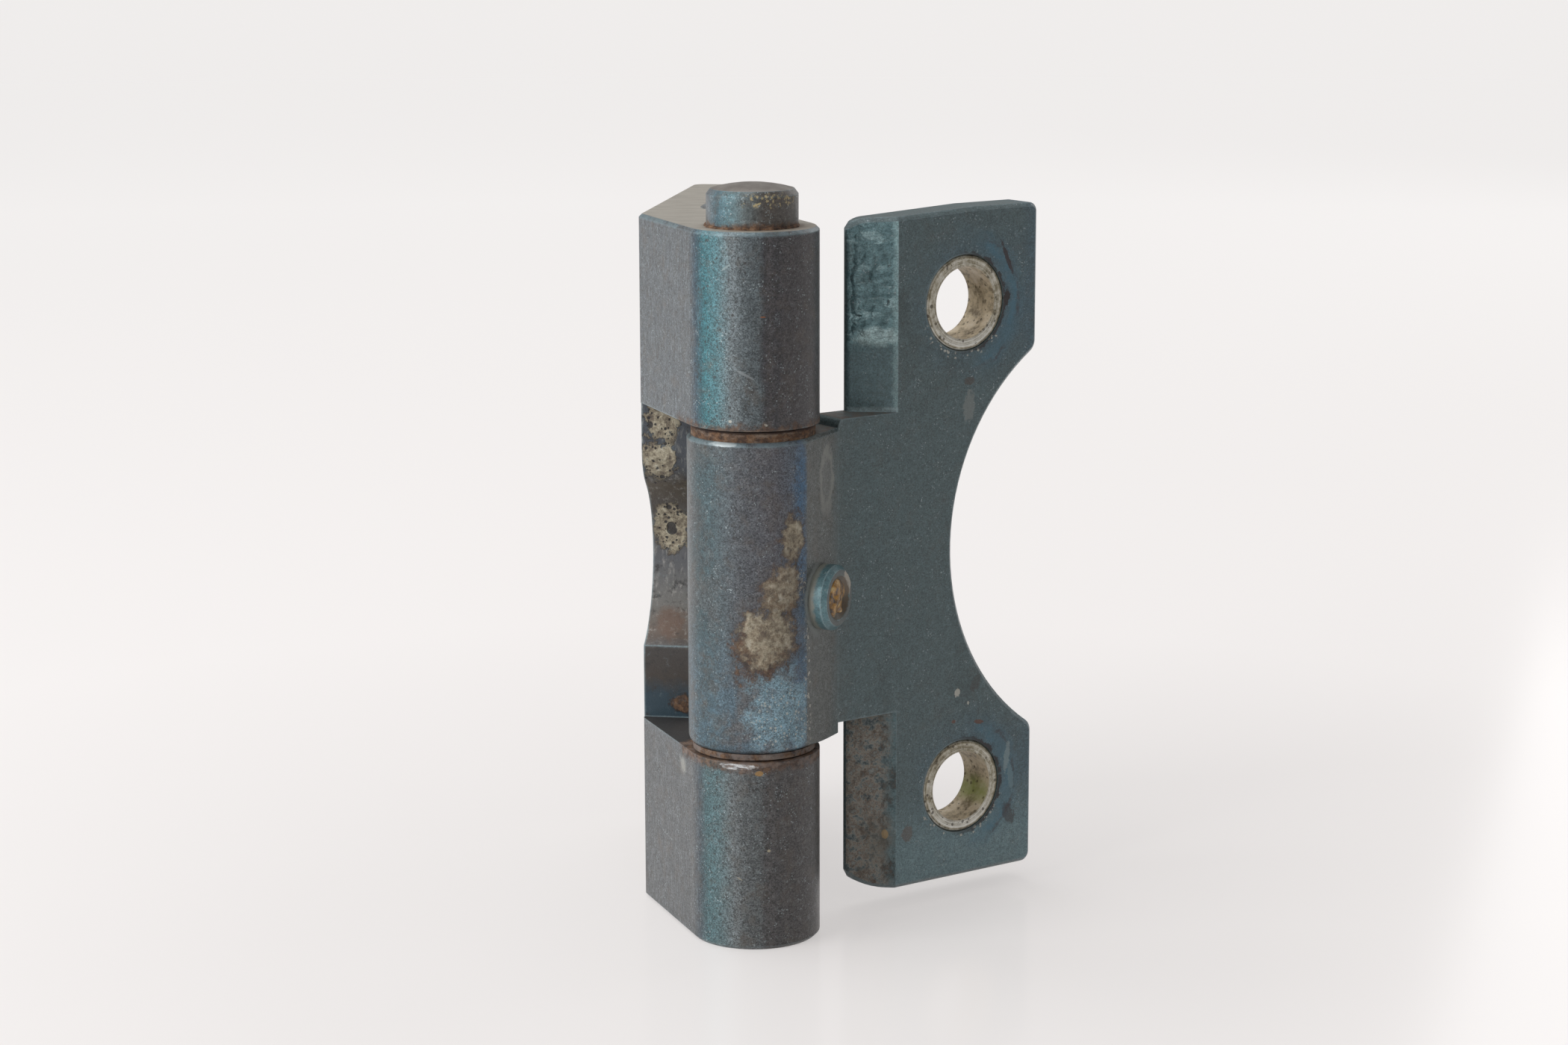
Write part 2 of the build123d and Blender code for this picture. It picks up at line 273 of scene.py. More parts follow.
def ragged_spot_group():
    """A spot with a ragged rim, from coordinates that have their middle at 0 and their rim at 1."""
    tree, given, out = new_group(
        "ragged_spot",
        {"Vector": "vector", "Ragged": "value", "Grain": "value", "Soft": "value"},
        {"Mask": "value", "Rim": "value"},
    )
    away = vector_sums(tree, "LENGTH", {0: given["Vector"]}, "Value")
    edges = {"Vector": millimetres(tree), "Scale": given["Grain"], "Detail": 8.0, "Roughness": 0.7}
    swing = sums(tree, "SUBTRACT", shader_node(tree, "TexNoise", edges).outputs["Fac"], 0.5)
    edge = sums(tree, "ADD", away, product(tree, swing, given["Ragged"]))
    inner = sums(tree, "SUBTRACT", 1.0, given["Soft"])
    mask = stepped(tree, edge, 1.0, inner)
    feed(tree, out["Mask"], mask)
    past_core = stepped(tree, edge, sums(tree, "SUBTRACT", inner, 0.25), inner)
    feed(tree, out["Rim"], product(tree, mask, past_core))
    return tree


def worn_edge_group():
    """A mask along the sharp edges of a piece, broken up by noise."""
    tree, given, out = new_group("worn_edge", {"Width": "value", "Ragged": "value"}, {"Mask": "value"})
    radius = product(tree, given["Width"], mm)
    rounded = shader_node(tree, "Bevel", {"Radius": radius}, samples=6).outputs["Normal"]
    true_normal = tree.nodes.new("ShaderNodeNewGeometry").outputs["Normal"]
    likeness = vector_sums(tree, "DOT_PRODUCT", {0: rounded, 1: true_normal}, "Value")
    bend = sums(tree, "SUBTRACT", 1.0, likeness)
    feed(tree, out["Mask"], stepped(tree, wobbled(tree, bend, given["Ragged"], 1.1), 0.02, 0.12))
    return tree


def round_the_pin_group():
    """How the surface lies round the pin: its share of a turn from -X by way of -Y, and its height."""
    tree, _, out = new_group("round_the_pin", {}, {"Turn": "value", "Height": "value"})
    parts = shader_node(tree, "SeparateXYZ", {"Vector": millimetres(tree)}).outputs
    angle = sums(tree, "ARCTAN2", parts["Y"], parts["X"])
    feed(tree, out["Turn"], sums(tree, "DIVIDE", sums(tree, "ADD", angle, pi), tau))
    feed(tree, out["Height"], parts["Z"])
    return tree


def rust_group():
    """Rust that drifts between dark, brown and orange, with a crusty relief."""
    tree, _, out = new_group("rust", {}, {"Color": "colour", "Height": "value"})
    crust = cloudy(tree, 1.3, 8.0, rough=0.72)
    tones = [(0.34, (50, 40, 35)), (0.46, (92, 71, 58)), (0.56, (128, 96, 70)), (0.7, (150, 130, 110))]
    feed(tree, out["Color"], colour_ramp(tree, crust, tones))
    feed(tree, out["Height"], crust)
    return tree


def oxide_group():
    """Bare metal gone to oxide: cream to grey-brown, with as many pits as asked for."""
    tree, given, out = new_group("oxide", {"Pits": "value"}, {"Color": "colour", "Height": "value"})
    crust = cloudy(tree, 1.1, 8.0, rough=0.75)
    tones = [
        (0.35, (104, 94, 86)), (0.45, (162, 150, 130)), (0.54, (206, 195, 170)), (0.64, (238, 231, 212)),
    ]
    pits = sums(tree, "MAXIMUM", specks(tree, 0.75, 0.45), specks(tree, 2.4, 0.4))
    holes = product(tree, pits, given["Pits"])
    crusted = colour_ramp(tree, crust, tones)
    feed(tree, out["Color"], mixed(tree, product(tree, holes, 0.9), crusted, (48, 48, 54)))
    feed(tree, out["Height"], sums(tree, "SUBTRACT", crust, holes))
    return tree


metal_flake = metal_flake_group()
old_stain = old_stain_group()
ragged_spot = ragged_spot_group()
worn_edge = worn_edge_group()
round_the_pin = round_the_pin_group()
rust = rust_group()
oxide = oxide_group()


def turn_share(azimuth):
    """An azimuth in degrees as a share of a full turn, as round_the_pin gives it."""
    return (azimuth + 180) / 360


# Finishes, laid coat by coat


def new_material(name):
    """A material with the standard shader: itself, its node tree and the shader's inputs."""
    material = bpy.data.materials.new(name)
    material.use_nodes = True
    return material, material.node_tree, material.node_tree.nodes["Principled BSDF"].inputs


class Finish:
    """A material laid in coats, each over the last where its masks say."""

    def __init__(self, name, metallic, roughness, gloss=0.0):
        self.material, self.tree, self.shader = new_material(name)
        self.shader["Coat Weight"].default_value = gloss
        self.shader["Coat Roughness"].default_value = 0.3
        self.colour = None
        self.metallic = metallic
        self.roughness = roughness
        self.height = 0.0

    def lay(self, mask, colour, roughness=None, metallic=None):
        """Covers the coats below with a colour, and with a gloss where one is given."""
        mask = self.overlap(mask)
        self.colour = mixed(self.tree, mask, self.colour, colour)
        if roughness is not None:
            self.roughness = self.blended(mask, self.roughness, roughness)
        if metallic is not None:
            self.metallic = self.blended(mask, self.metallic, metallic)

    def overlap(self, mask):
        """A mask as it is, or several masks and values multiplied together."""
        return product(self.tree, *mask) if isinstance(mask, tuple) else mask

    def blended(self, mask, under, over):
        """One value laid over another by a mask."""
        return shader_node(self.tree, "Mix", {0: mask, 2: under, 3: over}).outputs[0]

    def tint(self, mask, colour):
        """Multiplies the coats below by a colour."""
        self.colour = mixed(self.tree, self.overlap(mask), self.colour, colour, "MULTIPLY")

    def crust(self, mask, group, relief, **values):
        """Covers the coats below with rust or oxide, raised by a relief in millimetres."""
        mask = self.overlap(mask)
        grown = placed(self.tree, group, values)
        self.lay(mask, grown["Color"], 0.85, 0.0)
        self.lift(product(self.tree, mask, grown["Height"]), relief)

    def lift(self, height, amount):
        """Raises the surface by a height from 0 to 1 times an amount in millimetres."""
        self.height = sums(self.tree, "ADD", product(self.tree, height, amount), self.height)

    def spot(self, *place, **edge):
        """The mask of a ragged spot."""
        return self.spot_parts(*place, **edge)["Mask"]

    def spot_parts(self, centre, size, turn=0.0, lean=0.0, ragged=0.6, grain=0.9, soft=0.25):
        """Mask and rim of a spot: middle and half sizes in millimetres, turn and lean in degrees."""
        given = {
            "Vector": millimetres(self.tree),
            "Location": centre,
            "Rotation": (0, radians(lean), radians(turn)),
            "Scale": size,
        }
        local = shader_node(self.tree, "Mapping", given, vector_type="TEXTURE").outputs["Vector"]
        given = {"Vector": local, "Ragged": ragged, "Grain": grain, "Soft": soft}
        return placed(self.tree, ragged_spot, given)

    def finish(self, edge_rounding=0.0):
        """Connects the coats to the shader, with edges that look rounded by some millimetres."""
        feed(self.tree, self.shader["Base Color"], self.colour)
        feed(self.tree, self.shader["Metallic"], self.metallic)
        feed(self.tree, self.shader["Roughness"], self.roughness)
        relief = shader_node(self.tree, "Bump", {"Height": self.height, "Distance": mm})
        if edge_rounding:
            rounded = shader_node(self.tree, "Bevel", {"Radius": edge_rounding * mm}, samples=4)
            feed(self.tree, relief.inputs["Normal"], rounded.outputs["Normal"])
        feed(self.tree, self.shader["Normal"], relief.outputs["Normal"])
        return self.material


# Paint colours, as they look in plain light, except these: the blue, teal and silver set round the
# barrels are their highlight band painted in, the dark streaked and plum greys are painted shade on the
# side away from the lamps, the edge colour is partly a painted highlight, and the flash colour paints
# glints of flakes
flat_grey = (97, 104, 108)
deep_blue = (62, 86, 100)
teal_highlight = (56, 112, 121)
pale_teal = (76, 118, 126)
silver_highlight = (112, 122, 126)
dusk_grey = (87, 96, 100)
streaked_shade_grey = (60, 60, 64)
plum_shade_grey = (75, 73, 75)
slate_teal = (90, 108, 111)
slate_blue = (76, 106, 124)
light_teal = (108, 138, 143)
crease_blue = (58, 104, 140)
facet_grey = (100, 104, 102)
edge_wear_and_highlight = (150, 168, 173)
painted_flake_glint = (168, 180, 184)

# Colours of dirt, painted shade, bare metal and chips
dirt_and_shade_black = (42, 39, 38)
chip_dark = (52, 42, 40)
sawn_grey = (176, 171, 161)
bare_silver = (214, 218, 220)
white_fleck = (216, 214, 204)
steel_beige = (190, 185, 170)

# Roughness and metallic of dirt and chips, and the half depth of a small mark
matt = (0.7, 0.0)
mark_depth = 2


def aged(coat, depth, cover, brown=0.4, pepper=0.5):
    """Makes old metallic paint of the coats below: grain of flakes, orange peel, years of dirt."""
    tree = coat.tree
    grain = {"Paint": coat.colour, "Flash": painted_flake_glint, "Depth": depth, "Cover": cover}
    flakes = placed(tree, metal_flake, grain)
    dirt = {"Paint": flakes["Color"], "Brown": brown, "Pepper": pepper}
    coat.colour = placed(tree, old_stain, dirt)["Color"]
    coat.lift(flakes["Height"], 0.035)
    coat.lift(cloudy(tree, 0.9, 4.0), 0.07)


def wear_and_highlight_edges(coat, share=0.65, width=0.45, ragged=0.3, colour=edge_wear_and_highlight):
    """Paint worn thin and shiny along the edges, laid light there as worn paint and as a painted
    highlight.
    """
    worn = placed(coat.tree, worn_edge, {"Width": width, "Ragged": ragged})["Mask"]
    coat.lay((worn, share), colour, 0.34, 0.5)


def tone_and_light_round_pin(coat, wobble, stops):
    """Paint whose colour changes round the pin, by stops of azimuth in degrees and colour: besides the
    paint's tints, the stops paint in the highlight band and the shaded side.
    """
    way = placed(coat.tree, round_the_pin)
    turn = wobbled(coat.tree, way["Turn"], wobble, 0.35)
    turns = [(turn_share(azimuth), colour) for azimuth, colour in stops]
    coat.colour = colour_ramp(coat.tree, turn, turns)
    return way["Turn"], way["Height"]


def pillar_finish():
    """Paint of the forked half: pearl barrels with a painted highlight band and painted shade, streaked
    flat, bare sawn ends, blistered leaf edge, a mouth dark with dirt and painted shade.
    """
    coat = Finish("pillar_paint_worn", 0.25, 0.4, 0.2)
    tree = coat.tree
    # Tones round the barrels: the blue, teal and silver run is a painted highlight band, the dark greys
    # from -71 degrees on are painted shade
    tone_and_light_stops = [
        (-150, flat_grey), (-139, deep_blue), (-127, teal_highlight), (-114, pale_teal), (-99, silver_highlight),
        (-86, dusk_grey), (-76, dusk_grey), (-71, streaked_shade_grey), (-66, plum_shade_grey), (-60, streaked_shade_grey),
        (-54, plum_shade_grey), (30, plum_shade_grey), (60, flat_grey),
    ]
    turn, height = tone_and_light_round_pin(coat, 0.03, tone_and_light_stops)
    coat.lay(stepped(tree, height, 24.0, 22.0, 0.0, 0.4), (98, 97, 95))
    on_flat = facing(tree, flat_front)
    streaks = cloudy(tree, 3.4, 6.0, (1, 1, 0.12), 0.75)
    coat.tint((on_flat, stepped(tree, streaks, 0.6, 0.35)), (196, 200, 206))
    coat.lay((on_flat, stepped(tree, streaks, 0.52, 0.75), 0.35), (146, 154, 160))
    aged(coat, 0.6, 0.1, 0.42, 0.6)
    barrel_marks(coat)
    leaf_edge_coats(coat, height)
    wear_and_highlight_edges(coat)
    # Painted highlight along the upper knuckle's top edge
    top_edge_highlight_coat(coat, stepped(tree, turn, turn_share(-145), turn_share(-130)), height, fork_top)
    beyond_arm = stepped(tree, reach(tree, leaf_along), 13, 16)
    mounting_wear(coat, product(tree, facing(tree, mounting_front), beyond_arm))
    inner_side = product(tree, facing(tree, -mounting_front), beyond_arm)
    for sleeve in ("pillar_sleeve_upper", "pillar_sleeve_lower"):
        bolt_marks(coat, sleeve, pi / 2, inner_side)
    level = sums(tree, "ADD", facing(tree, upward), facing(tree, -upward))
    within = band(tree, height, 1, fork_top - 1, 0.5)
    saw_marks = cloudy(tree, 3.0, 6.0, (0.05, 1, 1), 0.75, 0.3)
    tones = [(0.3, (122, 115, 105)), (0.5, sawn_grey), (0.7, (194, 190, 180))]
    sawn = colour_ramp(tree, saw_marks, tones)
    coat.lay((level, sums(tree, "SUBTRACT", 1.0, within)), sawn, 0.6, 0.3)
    coat.lift(product(tree, level, saw_marks), 0.08)
    grubby = coat.spot((1.5, -1.5, fork_top), (9.5, 8.5, 3), ragged=1.4, grain=0.5, soft=0.9)
    coat.lay((level, grubby, 0.6), (128, 108, 86), *matt)
    # The mouth's floor and roof laid near black: dirt, and painted shade in the recess
    coat.lay((level, within, 0.92), dirt_and_shade_black, 0.85, 0.0)
    knuckle_gap_coats(coat, height)
    return coat.finish(0.35)


def barrel_marks(coat):
    """Small marks on the barrels: pale chips at the upper gap, scratches and a dot of rust."""
    marks = (
        ((-1.5, -7.85, 65.0), (0.26, 0.22), 0, 20, white_fleck, 0.8),
        ((2.7, -7.5, 64.6), (0.3, 0.16), 20, 30, white_fleck, 0.7),
        ((-1.9, -7.75, 83.2), (0.9, 0.14), -15, -35, (160, 176, 178), 0.7),
        ((0.3, -8.0, 70.6), (1.4, 0.2), 0, 28, (150, 156, 158), 0.6),
        ((2.4, -7.6, 77.4), (0.4, 0.12), 18, 0, (150, 96, 60), 0.8),
        ((-0.6, -7.95, 9.0), (0.5, 0.12), 0, 30, (170, 166, 150), 0.7),
        ((2.9, -7.45, 12.5), (0.25, 0.2), 20, 0, (196, 186, 160), 0.8),
    )
    for centre, (wide, high), turn, lean, colour, share in marks:
        mark = coat.spot(centre, (wide, mark_depth, high), turn, lean, ragged=0.8, grain=2.0, soft=0.4)
        coat.lay((mark, share), colour, 0.6)


def leaf_edge_coats(coat, height):
    """The leaf's front edge with its blistered paint: bands of oxide, dirt and old blue, and a light line
    on the scallop's lower edge.
    """
    tree = coat.tree
    zone = product(
        tree,
        facing(tree, -leaf_along, 0.3, 0.55),
        stepped(tree, reach(tree, mounting_front), 9.2, 9.5),
        stepped(tree, reach(tree, leaf_along), 11.9, 12.15),
    )
    stops = [
        (mouth_floor, (50, 72, 84)), (26.6, (46, 66, 78)), (28.6, (70, 63, 58)), (32.4, (76, 72, 70)),
        (34.0, (106, 92, 82)), (37.0, (122, 120, 116)), (42.5, (104, 106, 110)), (50.2, (92, 86, 80)),
        (53.0, (100, 90, 76)), (55.0, (80, 84, 90)), (mouth_roof, (74, 80, 88)),
    ]
    mouth = mouth_roof - mouth_floor
    above_floor = sums(tree, "SUBTRACT", wobbled(tree, height, 3.0, 0.5), mouth_floor)
    shares = [((place - mouth_floor) / mouth, colour) for place, colour in stops]
    coat.lay(zone, colour_ramp(tree, sums(tree, "DIVIDE", above_floor, mouth), shares), 0.6, 0.1)
    streaks = patches(tree, 0.5, 0.72, 1.4, 7.0, (1, 1, 0.3), 0.75)
    coat.lay((zone, streaks, stepped(tree, height, 32, 34), 0.8), (184, 182, 176), *matt)
    smuts = patches(tree, 0.52, 0.68, 0.8, 7.0, rough=0.72)
    coat.lay((zone, smuts, 0.85), (56, 54, 54), *matt)
    blisters = (
        ((-13.6, 12.2, 61.4), (2.4, 6, 2.6), 2.8),
        ((-13.8, 12.5, 56.2), (2.4, 6, 3.0), 2.4),
        ((-13.5, 18.7, 47.0), (2.5, 6, 4.0), 1.8),
    )
    for centre, size, ragged in blisters:
        blister = coat.spot(centre, size, ragged=ragged, grain=0.55, soft=0.15)
        coat.crust((zone, blister), oxide, 0.3, Pits=1.0)
    brown = coat.spot((-13.2, 15.3, 35.2), (2.4, 6, 2.4), ragged=2.0, grain=0.6, soft=0.6)
    coat.lay((zone, brown, 0.7), (118, 94, 80), 0.8, 0.0)
    # A light line along the edges in this band: painted highlight on the scallop's lower edge, with
    # rubbed paint
    rub = placed(tree, worn_edge, {"Width": 0.5, "Ragged": 0.2})["Mask"]
    coat.lay((zone, rub, band(tree, height, 31.5, 34.5, 0.5), 0.9), (160, 190, 200), 0.4, 0.3)
    rusty = coat.spot((-11.0, 12.2, 25.4), (2.0, 2, 1.3), ragged=1.8, grain=0.8)
    coat.crust((zone, rusty), rust, 0.3)


def top_edge_highlight_coat(coat, zone, height, edge):
    """The upper edge of a knuckle, laid light in streaks: a painted highlight along the rounded edge,
    with rubbed paint.
    """
    tree = coat.tree
    line = band(tree, wobbled(tree, height, 0.5, 1.5), edge - 0.5, edge, 0.2)
    streaks = patches(tree, 0.36, 0.56, 0.5, 7.0, (1, 1, 0.3), 0.7)
    coat.lay((zone, line, streaks, 0.45), (136, 162, 170), 0.32)


def mounting_wear(coat, zone):
    """Paint pressed and rubbed against the car: dull patches, long scratches and spots of rust."""
    tree = coat.tree
    dull = patches(tree, 0.44, 0.58, 0.09, 7.0, rough=0.68)
    coat.lay((zone, dull, 0.55), (128, 126, 118), 0.65, 0.1)
    scratches = patches(tree, 0.62, 0.7, 2.2, 5.0, (0.05, 0.05, 1), 0.6)
    coat.lay((zone, scratches, 0.6), (160, 166, 166), 0.4)
    rusty = patches(tree, 0.6, 0.68, 0.3, 9.0, rough=0.75)
    coat.crust((zone, rusty, 0.75), rust, 0.15)


def knuckle_gap_coats(coat, height):
    """Rust run out of both gaps, a rub mark, and the rust ring under the pin's head."""
    tree = coat.tree
    ragged_height = wobbled(tree, height, 3.2)
    upper_stain = band(tree, ragged_height, upper_gap - 1, upper_gap + 0.7, 0.45)
    lower_stain = band(tree, ragged_height, lower_gap - 1.2, lower_gap + 1, 0.5)
    near_barrel = coat.spot((0, -2, 44), (10.6, 8.6, 60), ragged=0.2, soft=0.1)
    stain = product(tree, sums(tree, "MAXIMUM", upper_stain, lower_stain), near_barrel)
    coat.crust((stain, 0.8), rust, 0.15)
    ashes = patches(tree, 0.45, 0.6, 0.6, 7.0, (1, 1, 2), 0.7)
    coat.lay((lower_stain, near_barrel, ashes, 0.5), (146, 134, 128), 0.6)
    rub = coat.spot((-1.2, -8, 23.0), (3.1, 1.2, 0.42), ragged=1.0, grain=1.6)
    brushed = patches(tree, 0.44, 0.6, 1.4, 7.0, (0.3, 0.3, 2.6), 0.75)
    coat.lay((rub, brushed), bare_silver, 0.24, 1.0)
    amber = coat.spot((1.8, -7.8, 22.2), (0.6, 0.6, 0.35), ragged=0.8, grain=1.6)
    coat.lay((amber, 0.8), (176, 138, 82), 0.4)
    smear = coat.spot((-8.7, -1, 21.0), (1.6, 1.6, 1.6), ragged=1.6, grain=0.9, soft=0.9)
    coat.lay((smear, 0.6), (184, 184, 176))
    ring = coat.spot((0, 0, fork_top), (6.8, 6.8, 1.5), ragged=0.3, grain=0.8, soft=0.35)
    coat.crust((ring, 0.75), rust, 0.15)


def door_finish():
    """Paint of the door half: blotched pearl knuckle tinted teal where the highlight falls, slate plate,
    wrinkled bevel with painted highlights and shade, marked holes.
    """
    coat = Finish("door_paint_worn", 0.25, 0.4, 0.2)
    tree = coat.tree
    # Tones round the middle knuckle: the teal to the left is the highlight's tint painted in, over the
    # paint's own tones
    tone_and_light_stops = [
        (-180, (82, 90, 93)), (-150, (84, 92, 95)), (-136, (64, 86, 92)), (-118, (72, 91, 97)),
        (-95, (90, 95, 100)), (-62, (96, 97, 103)), (-44, (90, 101, 114)), (-33, (76, 100, 122)),
        (-27, facet_grey), (12, facet_grey), (28, slate_teal),
    ]
    turn, height = tone_and_light_round_pin(coat, 0.02, tone_and_light_stops)
    along = reach(tree, door_along)
    on_knuckle = stepped(tree, along, 10.0, 8.5)
    on_barrel = product(tree, on_knuckle, stepped(tree, turn, turn_share(-27), turn_share(-30)))
    drift = cloudy(tree, 0.22, 7.0, rough=0.7)
    coat.lay((on_barrel, stepped(tree, drift, 0.48, 0.62), 0.35), (96, 90, 88))
    low_half = stepped(tree, height, 42, 30)
    coat.lay((on_barrel, low_half, stepped(tree, drift, 0.6, 0.45), 0.6), (78, 106, 122))
    for place, share in ((57.0, 0.75), (47.0, 0.4), (34.0, 0.4)):
        blue = coat.spot((6.5, -4.6, place), (2.0, 3, 5.4), 55, ragged=1.3, grain=0.5, soft=0.8)
        coat.lay((blue, on_barrel, share), crease_blue)
    blue_low = coat.spot((4.6, -6.6, 29.5), (6.0, 6.0, 7.5), ragged=2.6, grain=0.55, soft=0.8)
    coat.lay((blue_low, on_barrel, 0.85), (146, 182, 198))
    plate_coats(coat, along, height)
    bevel_coats(coat, along, height)
    grain = stepped(tree, on_knuckle, 0.0, 1.0, 0.3, 0.56)
    dirt = stepped(tree, on_knuckle, 0.0, 1.0, 0.16, 0.42)
    aged(coat, grain, 0.06, dirt, dirt)
    bevel_dirt(coat, along, height)
    wear_and_highlight_edges(coat)
    mounting_wear(coat, product(tree, facing(tree, -door_front), stepped(tree, along, 12, 14)))
    knuckle_wear_coats(coat, turn, height, on_barrel)
    hole_coats(coat)
    return coat.finish(0.5)


def plate_coats(coat, along, height):
    """The flat plate: bluer by the holes and the outer edge, lighter at its foot, scratched."""
    tree = coat.tree
    front = facing(tree, door_front)
    for sleeve in ("door_sleeve_upper", "door_sleeve_lower"):
        beside = (middle(sleeve) + door_along * 2.5 * mm) / mm
        blue = coat.spot(beside, (14, 8, 13), degrees(door_angle), ragged=0.8, grain=0.2, soft=0.8)
        coat.lay((front, blue, 0.6), slate_blue)
    coat.lay((stepped(tree, along, 37.5, 41), 0.5), slate_blue)
    coat.lay((front, stepped(tree, height, 16, 6), 0.8), (120, 146, 152))
    smudges = patches(tree, 0.5, 0.68, 0.14, 7.0, (1, 1, 0.6), 0.7)
    coat.lay((front, smudges, 0.35), (70, 80, 80), 0.6)
    hairlines = patches(tree, 0.62, 0.72, 1.8, 6.0, (1, 1, 0.12), 0.7)
    coat.lay((front, hairlines, 0.3), (126, 142, 145), 0.35)


def on_bevel(tree, along):
    """A mask of the plate's bevelled edge."""
    return product(tree, facing(tree, bevel_front, 0.8, 0.9), stepped(tree, along, 11.0, 11.5))


def bevel_coats(coat, along, height):
    """The plate's bevelled edge: thick paint, run and wrinkled above, plain below, with painted shade in
    the wrinkles' hollows and painted highlights on their crests, along the crease and at its foot.
    """
    tree = coat.tree
    bevel = on_bevel(tree, along)
    coat.lay(bevel, (97, 121, 126))
    above = product(tree, bevel, stepped(tree, wobbled(tree, height, 3.0), 70.8, 72.4))
    wrinkles = cloudy(tree, 0.6, 5.0, (0.7, 0.7, 1.4), 0.6, 0.8)
    coat.lay(above, light_teal, 0.28, 0.6)
    # Painted shade in the wrinkles' hollows, painted highlight on their crests
    coat.lay((above, stepped(tree, wrinkles, 0.5, 0.36), 0.5), (76, 104, 110))
    coat.lay((above, stepped(tree, wrinkles, 0.54, 0.68), 0.5), (186, 214, 217))
    coat.lift(product(tree, above, wrinkles), 0.3)
    # Painted highlight along the rounded crease by the plate
    crease_highlight = stepped(tree, wobbled(tree, along, 1.2, 0.4), 18.3, 18.8)
    coat.lay((bevel, crease_highlight, stepped(tree, height, 61, 63), 0.6), (158, 188, 191))
    # Painted highlight along the bevel's foot
    foot = band(tree, height, 63.4, 64.1, 0.25)
    coat.lay((bevel, foot, 0.7), (168, 190, 194), 0.3)
    patch = coat.spot((14.0, 10.2, 72.8), (3.4, 3, 1.4), ragged=1.6, grain=0.7, soft=0.5)
    coat.lay((bevel, patch, 0.6), (176, 200, 200), 0.25)


def bevel_dirt(coat, along, height):
    """Dirt on the bevel: a brown line up its nose, grime and rust below the lower notch."""
    tree = coat.tree
    bevel = on_bevel(tree, along)
    nose = stepped(tree, along, 14.4, 13.0)
    coat.lay((bevel, nose, 0.6), (92, 86, 76))
    below = product(tree, bevel, stepped(tree, height, 27.0, 25.0))
    tones = [
        (0.38, (80, 90, 94)), (0.45, (142, 152, 152)), (0.5, (200, 190, 176)), (0.54, (134, 114, 98)),
        (0.6, (162, 168, 165)), (0.68, (206, 202, 194)),
    ]
    grime = colour_ramp(tree, cloudy(tree, 0.8, 9.0, rough=0.8), tones)
    coat.lay((below, stepped(tree, wobbled(tree, along, 3.0), 19.0, 17.0), 0.9), grime, 0.65, 0.0)
    rusty = patches(tree, 0.5, 0.68, 0.6, 8.0, (1, 1, 0.8), 0.8)
    coat.crust((below, rusty, 0.6), rust, 0.2)
    pale = coat.spot((14.2, 10.3, 9.0), (3.0, 3, 4.5), ragged=1.6, grain=0.8, soft=0.9)
    coat.lay((bevel, pale, 0.5), (142, 136, 124), *matt)
    cream = coat.spot((14.9, 10.3, 9.9), (0.5, 2, 0.7), ragged=1.0, grain=1.6)
    coat.lay((cream, 0.8), (206, 176, 130), *matt)


